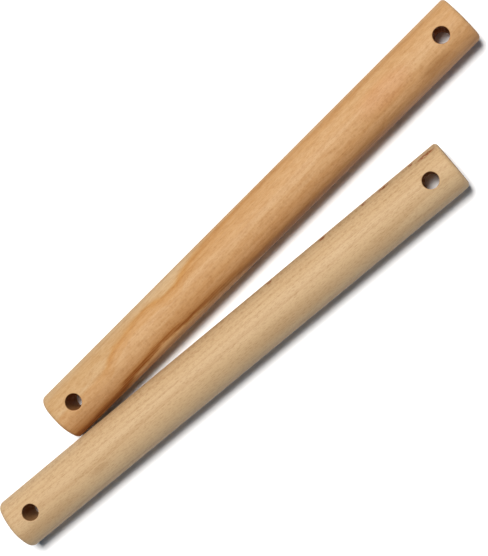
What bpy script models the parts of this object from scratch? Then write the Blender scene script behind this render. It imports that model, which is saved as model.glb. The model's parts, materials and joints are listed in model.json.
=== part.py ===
"""A pair of claves: two solid turned beech sticks, each cross-drilled near both ends for a hanging cord.

Run with: blender --background --python part.py

Units are metres and +Z is up. The pair lies on a table, z = 0, as it is put down after playing: the two
sticks nearly side by side, splayed a little, touching near one end. The origin is on the table under the
middle of the pair. +X runs along the line midway between the sticks' directions, +Y points from the
striking clave to the held clave.
"""

import math

import bmesh
import bpy
from mathutils import Matrix

# Driving dimensions. The claves are cut and sanded by hand, so the two differ a little.
HELD_CLAVE_LENGTH = 0.200
HELD_CLAVE_DIAMETER = 0.0192
STRIKING_CLAVE_LENGTH = 0.202
STRIKING_CLAVE_DIAMETER = 0.0194
END_ROUNDING = 0.0016        # radius of the sanded corner round each end face
CORD_HOLE_DIAMETER = 0.006
CORD_HOLE_FROM_END = 0.0096  # end face to the middle of the hole
CORD_HOLE_EASING = 0.0004    # depth of the 45 degree break round each mouth of a hole

# How the pair lies
SPLAY = math.radians(5.0)    # angle between the two sticks
STAGGER = 0.0369             # how far the held clave lies ahead of the striking clave, along +X
REST_GAP = 0.0003            # air left where the held clave's end comes nearest the striking clave

# Fineness of the meshes. The stick's sides are a multiple of four, so that it rests on an edge at z = 0.
STICK_SIDES = 96
END_ROUNDING_STEPS = 4
HOLE_SIDES = 32
CUTTER_OVERRUN = 0.0006      # how far a cutter stands out of the wood at each mouth
SMOOTH_UP_TO = math.radians(30)

HELD_CLAVE_RADIUS = HELD_CLAVE_DIAMETER / 2
STRIKING_CLAVE_RADIUS = STRIKING_CLAVE_DIAMETER / 2

# Beech, as linear colours: one stick has warm, reddish wood and the other pale, straw-coloured wood
WARM_BEECH_COLOR = (0.61, 0.36, 0.18, 1.0)
PALE_BEECH_COLOR = (0.66, 0.45, 0.25, 1.0)
BEECH_ROUGHNESS = 0.55


def clear_scene():
    for thing in list(bpy.data.objects):
        bpy.data.objects.remove(thing)


def wood_material(name, color):
    """Bare sanded wood of one colour."""
    material = bpy.data.materials.new(name)
    material.use_nodes = True
    shader = material.node_tree.nodes["Principled BSDF"]
    shader.inputs["Base Color"].default_value = color
    shader.inputs["Roughness"].default_value = BEECH_ROUGHNESS
    shader.inputs["Metallic"].default_value = 0.0
    return material


def stick_mesh(length, radius):
    """A round rod along X, centred on its middle, with the corner round each end face rounded off."""
    shape = bmesh.new()
    bmesh.ops.create_cone(
        shape,
        cap_ends=True,
        segments=STICK_SIDES,
        radius1=radius,
        radius2=radius,
        depth=length,
        matrix=Matrix.Rotation(math.pi / 2, 4, "Y"),
    )
    shape.normal_update()
    end_corners = [
        edge for edge in shape.edges
        if edge.verts[0].co.x * edge.verts[1].co.x > 0
    ]
    bmesh.ops.bevel(
        shape,
        geom=end_corners,
        offset=END_ROUNDING,
        segments=END_ROUNDING_STEPS,
        profile=0.5,
        affect="EDGES",
    )
    mesh = bpy.data.meshes.new("stick")
    shape.to_mesh(mesh)
    shape.free()
    return mesh


def surface_height(radius, across):
    """Height of a stick's round surface above its axis, at a distance across from that axis."""
    return math.sqrt(radius ** 2 - across ** 2)


def hole_ring(shape, radius, height_at):
    """A ring of corners round the hole's vertical axis, each at the height that its distance across gives.

    The first corner is half a step round, so that no corner falls on the edge along the top of the stick.
    """
    ring = []
    for step in range(HOLE_SIDES):
        turn = math.tau * (step + 0.5) / HOLE_SIDES
        across = radius * math.sin(turn)
        ring.append(shape.verts.new((radius * math.cos(turn), across, height_at(across))))
    return ring


def cord_hole_cutter_mesh(stick_radius):
    """A straight bore along Z whose two mouths open out at 45 degrees, following the stick's round surface."""
    def surface(across):
        return surface_height(stick_radius, across)

    bore_radius = CORD_HOLE_DIAMETER / 2
    mouth_radius = bore_radius + CORD_HOLE_EASING + CUTTER_OVERRUN
    top = stick_radius + 2 * CUTTER_OVERRUN
    shape = bmesh.new()
    rings = [
        hole_ring(shape, mouth_radius, lambda across: top),
        hole_ring(shape, mouth_radius, lambda across: surface(across) + CUTTER_OVERRUN),
        hole_ring(shape, bore_radius, lambda across: surface(across) - CORD_HOLE_EASING),
        hole_ring(shape, bore_radius, lambda across: CORD_HOLE_EASING - surface(across)),
        hole_ring(shape, mouth_radius, lambda across: -CUTTER_OVERRUN - surface(across)),
        hole_ring(shape, mouth_radius, lambda across: -top),
    ]
    for upper, lower in zip(rings, rings[1:]):
        for here in range(HOLE_SIDES):
            after = (here + 1) % HOLE_SIDES
            shape.faces.new((upper[here], lower[here], lower[after], upper[after]))
    shape.faces.new(rings[0])
    shape.faces.new(reversed(rings[-1]))
    bmesh.ops.recalc_face_normals(shape, faces=shape.faces)
    mesh = bpy.data.meshes.new("cord_hole_cutter")
    shape.to_mesh(mesh)
    shape.free()
    return mesh


def add_empty(name, parent=None, location=(0, 0, 0)):
    empty = bpy.data.objects.new(name, None)
    empty.empty_display_size = HELD_CLAVE_RADIUS
    empty.parent = parent
    empty.location = location
    bpy.context.scene.collection.objects.link(empty)
    return empty


def drill_cord_hole(stick, length, cutter_mesh, end):
    """Drills one cord hole straight down through the stick. end is 1 at its +X end and -1 at its -X end."""
    name = "cord_hole_ahead" if end > 0 else "cord_hole_behind"
    cutter = bpy.data.objects.new(f"{stick.name}_{name}_cutter", cutter_mesh)
    cutter.parent = stick
    cutter.location = (end * (length / 2 - CORD_HOLE_FROM_END), 0, 0)
    cutter.hide_render = True
    cutter.display_type = "WIRE"
    bpy.context.scene.collection.objects.link(cutter)
    drilling = stick.modifiers.new(name, "BOOLEAN")
    drilling.operation = "DIFFERENCE"
    drilling.solver = "EXACT"
    drilling.object = cutter


def add_clave(name, length, radius, material, parent, turn):
    """One clave on its parent, lying level and turned about the vertical."""
    mesh = stick_mesh(length, radius)
    mesh.name = name
    mesh.materials.append(material)
    mesh.shade_smooth()
    mesh.set_sharp_from_angle(angle=SMOOTH_UP_TO)
    clave = bpy.data.objects.new(name, mesh)
    clave.parent = parent
    clave.rotation_euler = (0, 0, turn)
    bpy.context.scene.collection.objects.link(clave)
    cutter_mesh = cord_hole_cutter_mesh(radius)
    for end in (1, -1):
        drill_cord_hole(clave, length, cutter_mesh, end)


def spacing_across():
    """Distance in Y between the sticks' middles that leaves REST_GAP where the held clave's end comes nearest.

    The held clave's near corner reaches this far from its own middle, square to the striking clave; the
    striking clave's radius and the gap come on top, and the stagger takes its share away.
    """
    corner_reach = (
        (HELD_CLAVE_LENGTH / 2 - END_ROUNDING) * math.sin(SPLAY)
        + (HELD_CLAVE_RADIUS - END_ROUNDING) * math.cos(SPLAY)
        + END_ROUNDING
    )
    between_axes = corner_reach + REST_GAP + STRIKING_CLAVE_RADIUS
    return (between_axes - STAGGER * math.sin(SPLAY / 2)) / math.cos(SPLAY / 2)


def main():
    clear_scene()
    warm_beech = wood_material("warm_beech", WARM_BEECH_COLOR)
    pale_beech = wood_material("pale_beech", PALE_BEECH_COLOR)

    ahead = STAGGER / 2
    aside = spacing_across() / 2
    pair = add_empty("claves_on_table")
    held_place = add_empty("held_clave_place", pair, (ahead, aside, HELD_CLAVE_RADIUS))
    lift_axis = add_empty("striking_clave_lift_axis", pair, (-ahead, -aside, STRIKING_CLAVE_RADIUS))
    add_clave("held_clave", HELD_CLAVE_LENGTH, HELD_CLAVE_RADIUS, warm_beech, held_place, SPLAY / 2)
    add_clave(
        "striking_clave", STRIKING_CLAVE_LENGTH, STRIKING_CLAVE_RADIUS, pale_beech, lift_axis, -SPLAY / 2
    )


main()
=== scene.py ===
"""A pair of beech claves on a white table in soft studio light, seen from almost straight above.

Lengths are in metres. Each stick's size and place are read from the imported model; its looks are made here,
in a frame of its own with x along the stick, y across it and z up.
"""

import json
import math

import bmesh
import bpy
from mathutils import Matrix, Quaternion, Vector, noise


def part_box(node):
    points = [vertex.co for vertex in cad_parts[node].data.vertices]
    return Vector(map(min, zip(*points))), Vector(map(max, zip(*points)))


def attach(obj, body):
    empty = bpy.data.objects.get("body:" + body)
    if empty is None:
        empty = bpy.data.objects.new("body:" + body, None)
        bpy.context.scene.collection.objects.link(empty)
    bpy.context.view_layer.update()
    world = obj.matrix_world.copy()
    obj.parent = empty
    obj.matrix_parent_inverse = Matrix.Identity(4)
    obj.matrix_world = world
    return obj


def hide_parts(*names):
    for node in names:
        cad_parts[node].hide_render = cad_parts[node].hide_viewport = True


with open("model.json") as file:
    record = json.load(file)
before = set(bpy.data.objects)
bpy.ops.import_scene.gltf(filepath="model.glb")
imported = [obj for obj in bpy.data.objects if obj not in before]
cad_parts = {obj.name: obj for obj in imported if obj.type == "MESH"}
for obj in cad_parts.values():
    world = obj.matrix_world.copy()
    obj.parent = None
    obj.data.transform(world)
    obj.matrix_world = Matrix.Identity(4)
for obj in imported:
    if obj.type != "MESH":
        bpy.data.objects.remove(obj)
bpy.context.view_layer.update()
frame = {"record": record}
record = frame["record"]

# ---------------------------------------------------------------------------------------------------------
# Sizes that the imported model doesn't name
# ---------------------------------------------------------------------------------------------------------

END_ROUNDING = 0.0016        # radius of the sanded corner round each end face
END_DOME = 0.00008           # how far the middle of an end face stands proud of its rim
HOLE_RADIUS = 0.0030
HOLE_EASING = 0.00035        # radius of the softened edge round each mouth of a hole

# Sanding by hand leaves the edges uneven
ROUNDING_UNEVENNESS = 0.35   # share by which the end's rounding comes and goes
EASING_UNEVENNESS = 0.45     # share by which the hole's softened edge comes and goes
UNEVENNESS_PACE = 1.3        # how often it comes and goes round a circle
SLEEVE_SHORT_BY = 1.7        # roundings left free at each end, more than the largest one needs

# Fineness of the sticks' surface
SIDES = 144                  # faces round a stick
PATCH_SIDES = 12             # faces from the middle of a hole's square patch to its edge
MIDDLE_STEPS = 190           # faces along the stick between the patches
END_STEPS = 8                # faces between a patch and the end's rounding
PATCH_RINGS = 9
EASING_STEPS = 5
WALL_STEPS = 24
ROUNDING_STEPS = 7
END_FACE_RINGS = 12


# ---------------------------------------------------------------------------------------------------------
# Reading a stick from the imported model
# ---------------------------------------------------------------------------------------------------------

def mount_place(name):
    return next(Vector(mount["pos_m"]) for mount in record["mounts"] if mount["name"] == name)


def opening_middle(name):
    openings = record["physics"]["openings"]
    low, high = next(opening["box_m"] for opening in openings if opening["name"] == name)
    return (Vector(low) + Vector(high)) / 2


class Stick:
    """One clave's size and place."""

    def __init__(self, node):
        ahead = mount_place(f"{node}_end_ahead")
        behind = mount_place(f"{node}_end_behind")
        hole = opening_middle(f"{node}_cord_hole_ahead")
        low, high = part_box(node)
        self.middle = (ahead + behind) / 2
        self.length = (ahead - behind).length
        self.radius = (high.z - low.z) / 2
        self.turn = math.atan2(ahead.y - behind.y, ahead.x - behind.x)
        self.hole_x = Vector((hole.x - self.middle.x, hole.y - self.middle.y)).length

    def surface_height(self, across):
        return math.sqrt(self.radius ** 2 - across ** 2)


# ---------------------------------------------------------------------------------------------------------
# The sticks' surface: a sleeve of quads with a round patch at each mouth of a hole
# ---------------------------------------------------------------------------------------------------------

def uneven(turn, seed, amount):
    """A factor near 1 that drifts smoothly round a circle, as an edge sanded by hand does."""
    place = Vector((UNEVENNESS_PACE * math.cos(turn), UNEVENNESS_PACE * math.sin(turn), seed))
    return 1 + amount * noise.noise(place)


class Skin:
    """Builds the closed surface of one stick. Its seed makes its unevenness its own."""

    def __init__(self, stick, seed):
        self.stick = stick
        self.seed = seed
        self.shape = bmesh.new()

    def ring(self, points):
        return [self.shape.verts.new(point) for point in points]

    def join(self, one, other):
        for here in range(len(one)):
            after = (here + 1) % len(one)
            self.shape.faces.new((one[here], one[after], other[after], other[here]))

    def round_point(self, x, side, radius):
        """A point on a circle round the stick's axis; side 0 is its top and sides count towards +y."""
        turn = math.tau * side / SIDES
        return x, radius * math.sin(turn), radius * math.cos(turn)

    def columns(self):
        """Places of the sleeve's rings along the stick, and the first ring's number of each hole's patch."""
        stick = self.stick
        patch = PATCH_SIDES * math.tau * stick.radius / SIDES
        end = stick.length / 2 - SLEEVE_SHORT_BY * END_ROUNDING
        near = stick.hole_x - patch
        far = stick.hole_x + patch
        stops = (-end, -far, -near, near, far, end)
        counts = (END_STEPS, 2 * PATCH_SIDES, MIDDLE_STEPS, 2 * PATCH_SIDES, END_STEPS)
        places = [stops[0]]
        for start, stop, count in zip(stops, stops[1:], counts):
            places += [start + (stop - start) * (step + 1) / count for step in range(count)]
        behind = END_STEPS
        ahead = END_STEPS + 2 * PATCH_SIDES + MIDDLE_STEPS
        return places, (behind, ahead)

    def sleeve(self):
        places, patches = self.columns()
        rings = [
            self.ring([self.round_point(x, side, self.stick.radius) for side in range(SIDES)])
            for x in places
        ]

        def in_patch(column, side):
            across = min(side % (SIDES // 2), (SIDES // 2 - 1 - side) % (SIDES // 2))
            return across < PATCH_SIDES and any(
                start <= column < start + 2 * PATCH_SIDES for start in patches
            )

        for column in range(len(places) - 1):
            for side in range(SIDES):
                if in_patch(column, side):
                    continue
                after = (side + 1) % SIDES
                self.shape.faces.new((
                    rings[column][side], rings[column + 1][side],
                    rings[column + 1][after], rings[column][after],
                ))
        for end, start in zip((-1, 1), patches):
            self.hole(end, rings, start)
        return rings[0], rings[-1]

    def patch_edge(self, rings, start, up):
        """The corners round the edge of a hole's square patch, in turn; up is 1 on top and -1 below."""
        reach = 2 * PATCH_SIDES
        steps = range(reach)
        cells = (
            [(reach, step - PATCH_SIDES) for step in steps]
            + [(reach - step, PATCH_SIDES) for step in steps]
            + [(0, PATCH_SIDES - step) for step in steps]
            + [(step, -PATCH_SIDES) for step in steps]
        )
        return [
            rings[start + column][(side if up > 0 else SIDES // 2 - side) % SIDES]
            for column, side in cells
        ]

    def mouth(self, edge, hole_x, up):
        """Rings from a patch's edge in to the hole's wall, over the softened edge of its mouth."""
        stick = self.stick
        seed = self.seed + 3 * hole_x / stick.length + 11 * up
        turns = [math.atan2(corner.co.y, corner.co.x - hole_x) for corner in edge]
        easings = [HOLE_EASING * uneven(turn, seed, EASING_UNEVENNESS) for turn in turns]
        rings = [edge]
        for step in range(1, PATCH_RINGS + 1):
            share = step / PATCH_RINGS
            points = []
            for corner, turn, easing in zip(edge, turns, easings):
                reach = HOLE_RADIUS + easing
                x = corner.co.x * (1 - share) + (hole_x + reach * math.cos(turn)) * share
                y = corner.co.y * (1 - share) + reach * math.sin(turn) * share
                points.append((x, y, up * stick.surface_height(y)))
            rings.append(self.ring(points))
        for step in range(1, EASING_STEPS + 1):
            sweep = math.pi / 2 * step / EASING_STEPS
            points = []
            for turn, easing in zip(turns, easings):
                reach = HOLE_RADIUS + easing * (1 - math.sin(sweep))
                y = reach * math.sin(turn)
                z = stick.surface_height(y) - easing * (1 - math.cos(sweep))
                points.append((hole_x + reach * math.cos(turn), y, up * z))
            rings.append(self.ring(points))
        for outer, inner in zip(rings, rings[1:]):
            self.join(outer, inner)
        return rings[-1]

    def hole(self, end, rings, start):
        """One drilled hole, from its top mouth to its lower one."""
        hole_x = end * self.stick.hole_x
        top = self.mouth(self.patch_edge(rings, start, 1), hole_x, 1)
        bottom = self.mouth(self.patch_edge(rings, start, -1), hole_x, -1)
        above = top
        for step in range(1, WALL_STEPS):
            share = step / WALL_STEPS
            below = self.ring([high.co.lerp(low.co, share) for high, low in zip(top, bottom)])
            self.join(above, below)
            above = below
        self.join(above, bottom)

    def end_cap(self, edge, end):
        """The rounded corner and the slightly domed face at one end."""
        stick = self.stick
        sides = range(SIDES)
        seed = self.seed + 5 * end
        roundings = [
            END_ROUNDING * uneven(math.tau * side / SIDES, seed, ROUNDING_UNEVENNESS) for side in sides
        ]
        outer = edge
        for step in range(ROUNDING_STEPS + 1):
            sweep = math.pi / 2 * step / ROUNDING_STEPS
            inner = self.ring([
                self.round_point(
                    end * (stick.length / 2 - rounding * (1 - math.sin(sweep))),
                    side,
                    stick.radius - rounding * (1 - math.cos(sweep)),
                )
                for side, rounding in zip(sides, roundings)
            ])
            self.join(outer, inner)
            outer = inner
        for step in range(1, END_FACE_RINGS):
            share = 1 - step / END_FACE_RINGS
            x = end * (stick.length / 2 + END_DOME * (1 - share ** 2))
            inner = self.ring([
                self.round_point(x, side, (stick.radius - rounding) * share)
                for side, rounding in zip(sides, roundings)
            ])
            self.join(outer, inner)
            outer = inner
        pole = self.shape.verts.new((end * (stick.length / 2 + END_DOME), 0, 0))
        for side in sides:
            self.shape.faces.new((outer[side], outer[(side + 1) % SIDES], pole))

    def finished_mesh(self, name):
        behind, ahead = self.sleeve()
        self.end_cap(behind, -1)
        self.end_cap(ahead, 1)
        unused = [corner for corner in self.shape.verts if not corner.link_faces]
        bmesh.ops.delete(self.shape, geom=unused, context="VERTS")
        bmesh.ops.recalc_face_normals(self.shape, faces=self.shape.faces)
        mesh = bpy.data.meshes.new(name)
        self.shape.to_mesh(mesh)
        self.shape.free()
        mesh.shade_smooth()
        return mesh


# ---------------------------------------------------------------------------------------------------------
# Shader nodes, added by short calls
# ---------------------------------------------------------------------------------------------------------

class Graph:
    """Adds nodes to one material; each call hands back the new node's output."""

    def __init__(self, name):
        self.material = bpy.data.materials.new(name)
        self.material.use_nodes = True
        self.tree = self.material.node_tree
        self.shader = self.tree.nodes["Principled BSDF"]

    def node(self, kind, inputs, output=0, **settings):
        made = self.tree.nodes.new(kind)
        for setting, value in settings.items():
            setattr(made, setting, value)
        for socket, value in inputs.items():
            self.plug(made.inputs[socket], value)
        return made.outputs[output]

    def plug(self, socket, value):
        if isinstance(value, bpy.types.NodeSocket):
            self.tree.links.new(value, socket)
        else:
            socket.default_value = value

    def math(self, operation, *values):
        return self.node("ShaderNodeMath", dict(enumerate(values)), operation=operation)

    def add(self, one, other):
        return self.math("ADD", one, other)

    def minus(self, one, other):
        return self.math("SUBTRACT", one, other)

    def times(self, one, other):
        return self.math("MULTIPLY", one, other)

    def object_point(self):
        return self.node("ShaderNodeTexCoord", {}, output=3)

    def parts(self, vector):
        made = self.tree.nodes.new("ShaderNodeSeparateXYZ")
        self.plug(made.inputs[0], vector)
        return made.outputs

    def point(self, x, y, z):
        return self.node("ShaderNodeCombineXYZ", {0: x, 1: y, 2: z})

    def in_cells(self, vector, size):
        """The vector counted in cells of this size, in metres."""
        return self.node("ShaderNodeVectorMath", {0: vector, 1: size}, operation="DIVIDE")

    def noise(self, vector, size, detail=2.0, roughness=0.5):
        """Soft noise from 0 to 1 whose blobs have this size."""
        inputs = {"Vector": self.in_cells(vector, size), "Scale": 1.0, "Detail": detail,
                  "Roughness": roughness}
        return self.node("ShaderNodeTexNoise", inputs)

    def specks(self, vector, size, randomness=1.0):
        """Distance from the middle of the nearest cell, in cells."""
        inputs = {"Vector": self.in_cells(vector, size), "Scale": 1.0, "Randomness": randomness}
        return self.node("ShaderNodeTexVoronoi", inputs)

    def step(self, value, start, stop, low=0.0, high=1.0):
        """A smooth step from low at start to high at stop."""
        inputs = {"Value": value, "From Min": start, "From Max": stop, "To Min": low, "To Max": high}
        return self.node("ShaderNodeMapRange", inputs, interpolation_type="SMOOTHSTEP")

    def band(self, value, rise, fall):
        """1 between two stretches: it rises over the first and falls back over the second."""
        return self.times(self.step(value, *rise), self.step(value, *fall, 1.0, 0.0))

    def curve(self, value, points):
        """A smooth curve through points from 0 to 1 each way."""
        made = self.tree.nodes.new("ShaderNodeFloatCurve")
        self.plug(made.inputs["Value"], value)
        line = made.mapping.curves[0]
        line.points[0].location = points[0]
        line.points[1].location = points[-1]
        for place in points[1:-1]:
            line.points.new(*place)
        made.mapping.update()
        return made.outputs[0]

    def blend(self, share, one, other):
        """One colour turning into the other as share goes from 0 to 1."""
        return self.node("ShaderNodeMix", {0: share, 6: one, 7: other}, output=2, data_type="RGBA")

    def shade(self, share, color, tint):
        """The colour multiplied by the tint as far as share goes."""
        return self.node("ShaderNodeMix", {0: share, 6: color, 7: tint}, output=2,
                         data_type="RGBA", blend_type="MULTIPLY")

    def bump(self, height, distance):
        return self.node("ShaderNodeBump", {"Height": height, "Distance": distance, "Strength": 1.0})


# ---------------------------------------------------------------------------------------------------------
# Beech
# ---------------------------------------------------------------------------------------------------------

RAY_TINT = (0.70, 0.60, 0.50, 1.0)
RING_TINT = (0.78, 0.68, 0.58, 1.0)
FIBRE_TINT = (0.80, 0.74, 0.68, 1.0)
END_GRAIN_TINT = (0.78, 0.68, 0.58, 1.0)
HOLE_TINT = (0.85, 0.66, 0.50, 1.0)

# Sizes of the wood's figure: along the grain, out from the pith, and round it
RING_DRIFT_SIZE = (0.09, 0.004, 0.02)
RAY_SIZE = (0.0026, 0.0030, 0.00042)
FINE_RAY_SIZE = (0.0011, 0.0016, 0.00020)
FIBRE_SIZE = (0.011, 0.00022, 0.00022)
CLOUD_SIZE = (0.050, 0.0035, 0.0050)
PORE_SIZE = (1.0, 0.00040, 0.00040)
SWAY_SIZE = (0.045, 1.0, 1.0)

SWAY = 0.0016                # how far the grain sways from side to side
RING_DRIFT = 2.2             # how many rings' widths the rings wander
END_RING_STRENGTH = 0.8
PORE_STRENGTH = 0.5
FIBRE_ROUGHNESS = (0.55, 0.68)
CUT_ROUGHNESS = 0.15         # how much rougher a cut end or a hole's wall is
WOOD_GLOSS = 0.2
RAY_RELIEF = -0.5            # rays and rings lie lower than the fibres
RING_RELIEF = -0.4
RELIEF_DEPTH = 0.00003


class Beech:
    """Solid beech cut into one stick: growth rings round a distant pith, rays, fibres and cut ends."""

    def __init__(self, name, stick, pith, ring_width, slope):
        self.graph = graph = Graph(name)
        self.stick = stick
        self.here = graph.object_point()
        self.x, self.y, z = graph.parts(self.here)[0:3]
        sway = graph.noise(graph.point(self.x, 0.0, 0.0), SWAY_SIZE, detail=1.0)
        sway = graph.times(graph.minus(sway, 0.5), SWAY)
        lean_y = graph.add(graph.times(self.x, slope[0]), sway)
        lean_z = graph.times(self.x, slope[1])
        from_y = graph.minus(graph.minus(self.y, lean_y), pith[0])
        from_z = graph.minus(graph.minus(z, lean_z), pith[1])
        distance = math.hypot(*pith)
        radius = graph.math("SQRT", graph.add(graph.times(from_y, from_y), graph.times(from_z, from_z)))
        self.depth = graph.minus(radius, distance)
        angle = graph.math("ARCTAN2", from_y, from_z)
        self.wood = graph.point(self.x, self.depth, graph.times(angle, distance))
        self.ring_width = ring_width

    def rings(self):
        """Darkening along each year's late wood, from 0 to 1."""
        graph = self.graph
        drift = graph.noise(self.wood, RING_DRIFT_SIZE, detail=2.0)
        years = graph.add(graph.times(self.depth, 1 / self.ring_width), graph.times(drift, RING_DRIFT))
        year = graph.math("FRACT", years)
        late = graph.step(year, 0.35, 0.93)
        ended = graph.step(year, 0.93, 1.0, 1.0, 0.0)
        return graph.times(graph.math("POWER", late, 1.8), ended)

    def rays(self):
        """Rays: thin plates of cells that run out from the pith, seen end-on as short dashes."""
        graph = self.graph
        near = graph.specks(self.wood, RAY_SIZE)
        return graph.step(near, 0.20, 0.42, 1.0, 0.0)

    def fine_rays(self):
        """The smallest rays, which fill the wood between the larger ones."""
        graph = self.graph
        near = graph.specks(self.wood, FINE_RAY_SIZE)
        return graph.step(near, 0.22, 0.45, 1.0, 0.0)

    def fibres(self):
        """Fine lines along the grain."""
        return self.graph.noise(self.wood, FIBRE_SIZE, detail=3.0, roughness=0.6)

    def pores(self):
        """The open ends of the wood's vessels, as fine dots on a cut end."""
        near = self.graph.specks(self.here, PORE_SIZE)
        return self.graph.step(near, 0.15, 0.40, 1.0, 0.0)

    def clouds(self):
        """Slow drifts of tone along the stick."""
        return self.graph.noise(self.wood, CLOUD_SIZE, detail=2.0)

    def cut_end(self):
        """1 on the end faces, fading out over their rounded corners."""
        graph = self.graph
        far = graph.math("ABSOLUTE", self.x)
        half = self.stick.length / 2
        return graph.step(far, half - 0.20 * END_ROUNDING, half - 0.02 * END_ROUNDING)

    def hole_wall(self):
        """1 inside the drilled holes."""
        graph = self.graph
        along = graph.minus(graph.math("ABSOLUTE", self.x), self.stick.hole_x)
        reach = graph.math("SQRT", graph.add(graph.times(along, along), graph.times(self.y, self.y)))
        return graph.step(reach, HOLE_RADIUS + 0.00003, HOLE_RADIUS + 0.5 * HOLE_EASING, 1.0, 0.0)

    def finish(self, color, ray_strength, fine_ray_strength, ring_strength, fibre_strength):
        """Lays the figure over the wood's own colour and sets gloss and relief."""
        graph = self.graph
        rings = self.rings()
        rays = self.rays()
        fine_rays = self.fine_rays()
        fibres = self.fibres()
        cut_end = self.cut_end()
        hole_wall = self.hole_wall()
        color = graph.shade(graph.times(rings, ring_strength), color, RING_TINT)
        color = graph.shade(graph.times(fine_rays, fine_ray_strength), color, RAY_TINT)
        color = graph.shade(graph.times(rays, ray_strength), color, RAY_TINT)
        color = graph.shade(graph.step(fibres, 0.45, 0.75, 0.0, fibre_strength), color, FIBRE_TINT)
        color = graph.shade(cut_end, color, END_GRAIN_TINT)
        end_rings = graph.times(graph.times(rings, cut_end), END_RING_STRENGTH)
        color = graph.shade(end_rings, color, RING_TINT)
        pores = graph.times(graph.times(self.pores(), cut_end), PORE_STRENGTH)
        color = graph.shade(pores, color, RAY_TINT)
        color = graph.shade(hole_wall, color, HOLE_TINT)
        graph.plug(graph.shader.inputs["Base Color"], color)

        roughness = graph.step(fibres, 0.3, 0.7, *FIBRE_ROUGHNESS)
        roughness = graph.add(roughness, graph.times(graph.add(cut_end, hole_wall), CUT_ROUGHNESS))
        graph.plug(graph.shader.inputs["Roughness"], roughness)
        graph.shader.inputs["Specular IOR Level"].default_value = WOOD_GLOSS

        relief = graph.add(fibres, graph.times(rays, RAY_RELIEF))
        relief = graph.add(relief, graph.times(rings, RING_RELIEF))
        normal = graph.bump(relief, RELIEF_DEPTH)
        graph.plug(graph.shader.inputs["Normal"], normal)
        return graph.material


# The held clave's sapwood ends at a wandering line. Each point is a place along the stick and across it.
SAPWOOD_LINE = (
    (-0.100, -0.0006), (-0.088, -0.0003), (-0.076, 0.0002), (-0.070, 0.0026), (-0.0645, 0.0043),
    (-0.053, 0.0058), (-0.046, 0.0055), (-0.040, 0.0042), (-0.032, 0.0061), (-0.0225, 0.0080),
    (-0.0156, 0.0087), (0.000, 0.0090), (0.060, 0.0092), (0.100, 0.0093),
)
# Its dark streak runs along the -y flank and drops down its side before the stick's middle
STREAK_LINE = (
    (-0.100, -0.0090), (-0.083, -0.0087), (-0.075, -0.0083), (-0.063, -0.0071), (-0.057, -0.0067),
    (-0.046, -0.0067), (-0.040, -0.0071), (-0.0225, -0.0078), (-0.011, -0.0086), (0.100, -0.0093),
)

# Paler wood below the held clave's streak, made lighter still as painted fill light on its shaded lower
# flank
PALE_WOOD_AND_PAINTED_FILL = (0.800, 0.500, 0.250, 1.0)
SAPWOOD = (0.500, 0.335, 0.178, 1.0)
HEARTWOOD = (0.495, 0.300, 0.143, 1.0)
STRAW = (0.492, 0.337, 0.184, 1.0)
GUM_LINE_TINT = (0.90, 0.76, 0.51, 1.0)
FLANK_TINT = (0.99, 0.84, 0.70, 1.0)
STREAK_TINT = (0.60, 0.38, 0.16, 1.0)
EMBER_TINT = (0.98, 0.90, 0.74, 1.0)
FLUSH_TINT = (1.00, 0.92, 0.90, 1.0)
CLOUD_TINT = (0.92, 0.85, 0.74, 1.0)
MOTTLE_TINT = (0.90, 0.84, 0.76, 1.0)
SMUDGE_TINT = (0.84, 0.80, 0.74, 1.0)
PALE_CLOUD_TINT = (0.96, 0.94, 0.91, 1.0)
PALE_SMUDGE_TINT = (0.88, 0.84, 0.80, 1.0)
NICK_TINT = (0.50, 0.24, 0.16, 1.0)


def line_across(beech, points):
    """A curve along the stick, as distance across it."""
    graph = beech.graph
    half_length = beech.stick.length / 2
    radius = beech.stick.radius
    along = graph.add(graph.times(beech.x, 0.5 / half_length), 0.5)
    shape = [
        (0.5 + 0.5 * place / half_length, 0.5 + 0.5 * across / radius)
        for place, across in points
    ]
    height = graph.curve(along, shape)
    return graph.times(graph.minus(height, 0.5), 2 * radius)


def spot(beech, place, reach):
    """1 at a place on the stick, fading to 0 at this reach along, across and up."""
    graph = beech.graph
    away = graph.node("ShaderNodeVectorMath", {0: beech.here, 1: place}, operation="SUBTRACT")
    away = graph.in_cells(away, reach)
    length = graph.node("ShaderNodeVectorMath", {0: away}, output=1, operation="LENGTH")
    return graph.step(length, 0.35, 1.0, 1.0, 0.0)


# The held clave's marks. A stretch runs from one distance to another, measured from the line followed:
# for the sapwood and the gum towards +y, and for the streak towards -y.
WOBBLE_SIZE = (0.010, 0.003, 0.003)
WOBBLE = 0.0022
SAPWOOD_BLEND = (-0.0012, 0.0008)

GUM_RISE = (-0.0040, -0.0008)
GUM_FALL = (-0.0011, 0.0014)
GUM_ECHO_DEPTH = 0.0034
GUM_ECHO_HALF_WIDTH = 0.0008
GUM_ECHO_STRENGTH = 0.35
GUM_BREAK_SIZE = (0.014, 0.002, 0.002)
GUM_STARTS = (-0.085, -0.068)     # places along the stick
GUM_WEAKENS = (-0.010, 0.050)

# Where the paler wood below the streak, with its painted fill light, takes over, and how strongly
UNDER_STREAK_BLEND = (0.0006, 0.0014)
PALE_WOOD_AND_PAINTED_FILL_STRENGTH = 0.8
EMBER_RISE = (-0.0024, -0.0002)
STREAK_RISE = (-0.0012, 0.0001)
STREAK_FALL = (0.0004, 0.0011)
STREAK_FADES = (-0.050, -0.008)   # places along the stick
STREAK_LEFT_OVER = 0.25
STREAK_GRAIN_SIZE = (0.030, 0.0005, 0.0005)

FLANK_BLEND = (-0.0095, 0.0005)   # distances across the stick
FLANK_WEAKENS = (0.0, 0.060)      # places along the stick

FLUSH_PLACE = (0.063, 0.0, 0.009)
FLUSH_REACH = (0.016, 0.006, 0.02)
HELD_SMUDGE_PLACE = (0.082, -0.0058, 0.007)
HELD_SMUDGE_REACH = (0.009, 0.0024, 0.01)
MOTTLE_SIZE = (0.0045, 0.0013, 0.0013)


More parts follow.
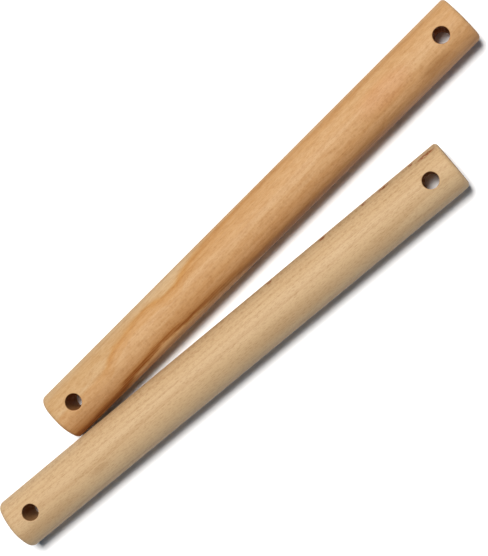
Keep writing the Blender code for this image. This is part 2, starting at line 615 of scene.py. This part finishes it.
def gum(beech, beyond):
    """Gum-coloured wood: a soft band inside the sapwood's edge, with a fainter echo farther in."""
    graph = beech.graph
    band = graph.band(beyond, GUM_RISE, GUM_FALL)
    from_echo = graph.math("ABSOLUTE", graph.add(beyond, GUM_ECHO_DEPTH))
    echo = graph.step(from_echo, 0.0, GUM_ECHO_HALF_WIDTH, GUM_ECHO_STRENGTH, 0.0)
    breaks = graph.noise(beech.here, GUM_BREAK_SIZE, detail=2.0)
    strength = graph.times(graph.add(band, echo), graph.step(breaks, 0.30, 0.60, 0.62, 1.0))
    strength = graph.times(strength, graph.step(beech.x, *GUM_STARTS, 0.30, 1.0))
    strength = graph.times(strength, graph.step(beech.x, *GUM_WEAKENS, 1.0, 0.55))
    return graph.math("MINIMUM", strength, 1.0)


def add_streak(beech, color, across):
    """The dark streak: glowing wood above it, lines along the grain in it, and paler wood below it,
    lightened further with painted fill light on the shaded lower flank.
    """
    graph = beech.graph
    below = graph.minus(line_across(beech, STREAK_LINE), across)
    # Paler wood below the streak, lightened further as painted fill light on the shaded lower flank
    pale_wood_and_painted_fill = graph.step(below, *UNDER_STREAK_BLEND, 0.0, PALE_WOOD_AND_PAINTED_FILL_STRENGTH)
    color = graph.blend(pale_wood_and_painted_fill, color, PALE_WOOD_AND_PAINTED_FILL)
    fading = graph.step(beech.x, *STREAK_FADES, 1.0, STREAK_LEFT_OVER)
    glow = graph.band(below, EMBER_RISE, UNDER_STREAK_BLEND)
    color = graph.shade(graph.times(glow, fading), color, EMBER_TINT)
    grain = graph.noise(beech.here, STREAK_GRAIN_SIZE, detail=2.0)
    lines = graph.step(grain, 0.40, 0.60, 0.30, 1.0)
    dark = graph.times(graph.band(below, STREAK_RISE, STREAK_FALL), lines)
    return graph.shade(graph.times(dark, fading), color, STREAK_TINT)


def warm_beech(stick):
    """The held clave's wood: warm heartwood, a gum-coloured line and some pale sapwood on its +y side."""
    beech = Beech("warm_beech", stick, pith=(-0.090, -0.020), ring_width=0.0021, slope=(0.012, 0.004))
    graph = beech.graph
    wobble = graph.noise(beech.here, WOBBLE_SIZE, detail=3.0, roughness=0.65)
    across = graph.add(beech.y, graph.times(graph.minus(wobble, 0.5), WOBBLE))
    beyond = graph.minus(across, line_across(beech, SAPWOOD_LINE))
    color = graph.blend(graph.step(beyond, *SAPWOOD_BLEND), HEARTWOOD, SAPWOOD)
    color = graph.shade(gum(beech, beyond), color, GUM_LINE_TINT)
    flank = graph.step(beech.y, *FLANK_BLEND, 1.0, 0.0)
    flank = graph.times(flank, graph.step(beech.x, *FLANK_WEAKENS, 1.0, 0.85))
    color = graph.shade(flank, color, FLANK_TINT)
    color = add_streak(beech, color, across)
    color = graph.shade(spot(beech, FLUSH_PLACE, FLUSH_REACH), color, FLUSH_TINT)
    color = graph.shade(spot(beech, HELD_SMUDGE_PLACE, HELD_SMUDGE_REACH), color, SMUDGE_TINT)
    color = graph.shade(graph.step(beech.clouds(), 0.35, 0.68), color, CLOUD_TINT)
    mottle = graph.noise(beech.here, MOTTLE_SIZE, detail=4.0, roughness=0.7)
    color = graph.shade(graph.step(mottle, 0.40, 0.68), color, MOTTLE_TINT)
    return beech.finish(
        color, ray_strength=0.20, fine_ray_strength=0.26, ring_strength=0.20, fibre_strength=0.36
    )


class Nick:
    """A short stained mark in the striking clave's +y flank, along the grain."""

    def __init__(self, along, half_length, across=0.0088, up=0.0039):
        self.place = (along, across, up)
        self.reach = (1.5 * half_length, 0.0011, 0.0013)


NICKS = (
    Nick(0.0255, 0.0010), Nick(0.0495, 0.0016), Nick(0.0683, 0.0010), Nick(0.0772, 0.0026),
    Nick(0.0892, 0.0009), Nick(0.0955, 0.0038, across=0.0080, up=0.0053),
)
NICK_RAGGEDNESS_SIZE = (0.0012, 0.0006, 0.0006)
STRIKING_SMUDGE_PLACE = (-0.062, -0.0037, 0.009)
STRIKING_SMUDGE_REACH = (0.006, 0.0016, 0.02)


def pale_beech(stick):
    """The striking clave's wood: even, straw-coloured, full of fine flecks."""
    beech = Beech("pale_beech", stick, pith=(0.045, -0.060), ring_width=0.0017, slope=(0.008, 0.004))
    graph = beech.graph
    color = graph.shade(graph.step(beech.clouds(), 0.3, 0.7), STRAW, PALE_CLOUD_TINT)
    ragged = graph.noise(beech.here, NICK_RAGGEDNESS_SIZE, detail=2.0)
    for nick in NICKS:
        stain = graph.times(spot(beech, nick.place, nick.reach), graph.step(ragged, 0.30, 0.55))
        color = graph.shade(stain, color, NICK_TINT)
    smudge = spot(beech, STRIKING_SMUDGE_PLACE, STRIKING_SMUDGE_REACH)
    color = graph.shade(smudge, color, PALE_SMUDGE_TINT)
    return beech.finish(
        color, ray_strength=0.38, fine_ray_strength=0.34, ring_strength=0.38, fibre_strength=0.38
    )


# ---------------------------------------------------------------------------------------------------------
# Sticks, table, light and camera
# ---------------------------------------------------------------------------------------------------------

def add_stick(node, make_material, seed):
    stick = Stick(node)
    mesh = Skin(stick, seed).finished_mesh(f"{node}_wood")
    mesh.materials.append(make_material(stick))
    piece = bpy.data.objects.new(f"{node}_wood", mesh)
    piece.location = stick.middle
    piece.rotation_euler = (0, 0, stick.turn)
    bpy.context.scene.collection.objects.link(piece)
    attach(piece, node)
    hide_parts(node)


TABLE_HALF_WIDTH = 0.9
TABLE_TONES = ((0.90, 0.90, 0.90, 1.0), (0.91, 0.91, 0.91, 1.0))
TABLE_TONE_SIZE = (0.25, 0.25, 0.25)


def add_table():
    graph = Graph("table_top")
    tone = graph.noise(graph.object_point(), TABLE_TONE_SIZE, detail=2.0)
    color = graph.blend(tone, *TABLE_TONES)
    graph.plug(graph.shader.inputs["Base Color"], color)
    graph.shader.inputs["Roughness"].default_value = 0.9
    graph.shader.inputs["Specular IOR Level"].default_value = 0.1
    shape = bmesh.new()
    bmesh.ops.create_grid(shape, x_segments=1, y_segments=1, size=TABLE_HALF_WIDTH)
    mesh = bpy.data.meshes.new("table_top")
    shape.to_mesh(mesh)
    shape.free()
    mesh.materials.append(graph.material)
    table = bpy.data.objects.new("table_top", mesh)
    bpy.context.scene.collection.objects.link(table)


LIGHT_DISTANCE = 1.6
OVERHEAD_AZIMUTH = 77        # degrees; 90 is over the +Y side of the table
KEY_COLOR = (1.01, 0.99, 0.97)
FILL_COLOR = (0.65, 0.92, 1.30)
AIR_COLOR = (0.50, 0.96, 1.45, 1.0)
AIR_STRENGTH = 0.058
ROOM_COLOR = (0.80, 0.82, 0.84, 1.0)


def light_place(elevation, azimuth):
    """A place at LIGHT_DISTANCE from the middle of the table, from angles in degrees."""
    height = math.radians(elevation)
    side = math.radians(azimuth)
    return Vector((
        LIGHT_DISTANCE * math.cos(height) * math.cos(side),
        LIGHT_DISTANCE * math.cos(height) * math.sin(side),
        LIGHT_DISTANCE * math.sin(height),
    ))


def add_softbox(name, elevation, azimuth, size, power, color):
    """A square light of this size that faces the middle of the table."""
    light = bpy.data.lights.new(name, "AREA")
    light.shape = "SQUARE"
    light.size = size
    light.energy = power
    light.color = color
    box = bpy.data.objects.new(name, light)
    box.location = light_place(elevation, azimuth)
    box.rotation_euler = (-box.location).to_track_quat("-Z", "Y").to_euler()
    box.visible_camera = False
    bpy.context.scene.collection.objects.link(box)


def add_lights():
    """A soft key, a steeper light that reaches down the holes, a low fill, and the air."""
    add_softbox("key_softbox", 74.3, OVERHEAD_AZIMUTH, size=0.42, power=32.6, color=KEY_COLOR)
    add_softbox("top_softbox", 83.0, OVERHEAD_AZIMUTH, size=0.20, power=5.2, color=KEY_COLOR)
    add_softbox("low_fill_softbox", 12, -90, size=0.9, power=1.7, color=FILL_COLOR)
    add_studio_air()


def add_studio_air():
    """Faint blue light from all round; the camera itself sees a pale room behind the table."""
    world = bpy.data.worlds.new("studio")
    bpy.context.scene.world = world
    world.use_nodes = True
    nodes = world.node_tree.nodes
    links = world.node_tree.links
    light = nodes["Background"]
    light.inputs["Color"].default_value = AIR_COLOR
    light.inputs["Strength"].default_value = AIR_STRENGTH
    room = nodes.new("ShaderNodeBackground")
    room.inputs["Color"].default_value = ROOM_COLOR
    seen = nodes.new("ShaderNodeLightPath")
    choice = nodes.new("ShaderNodeMixShader")
    links.new(seen.outputs["Is Camera Ray"], choice.inputs[0])
    links.new(light.outputs[0], choice.inputs[1])
    links.new(room.outputs[0], choice.inputs[2])
    links.new(choice.outputs[0], nodes["World Output"].inputs["Surface"])


CAMERA_PLACE = Vector((0.0805, -0.0545, 0.6900))
CAMERA_AIM = Vector((0.0014, 0.0019, 0.0095))
CAMERA_SPIN = math.radians(-42.05)
CAMERA_LENS_MM = 126.4


def add_camera():
    lens = bpy.data.cameras.new("camera")
    lens.lens = CAMERA_LENS_MM
    lens.sensor_width = 36.0
    lens.clip_end = 20.0
    camera = bpy.data.objects.new("camera", lens)
    look = (CAMERA_AIM - CAMERA_PLACE).normalized()
    straight_down = Vector((0, 0, -1))
    tilt = straight_down.rotation_difference(look)
    camera.location = CAMERA_PLACE
    camera.rotation_euler = (tilt @ Quaternion((0, 0, 1), CAMERA_SPIN)).to_euler()
    bpy.context.scene.collection.objects.link(camera)
    bpy.context.scene.camera = camera


add_stick("held_clave", warm_beech, seed=2.0)
add_stick("striking_clave", pale_beech, seed=7.0)
add_table()
add_lights()
add_camera()
bpy.context.scene.view_settings.view_transform = "Standard"
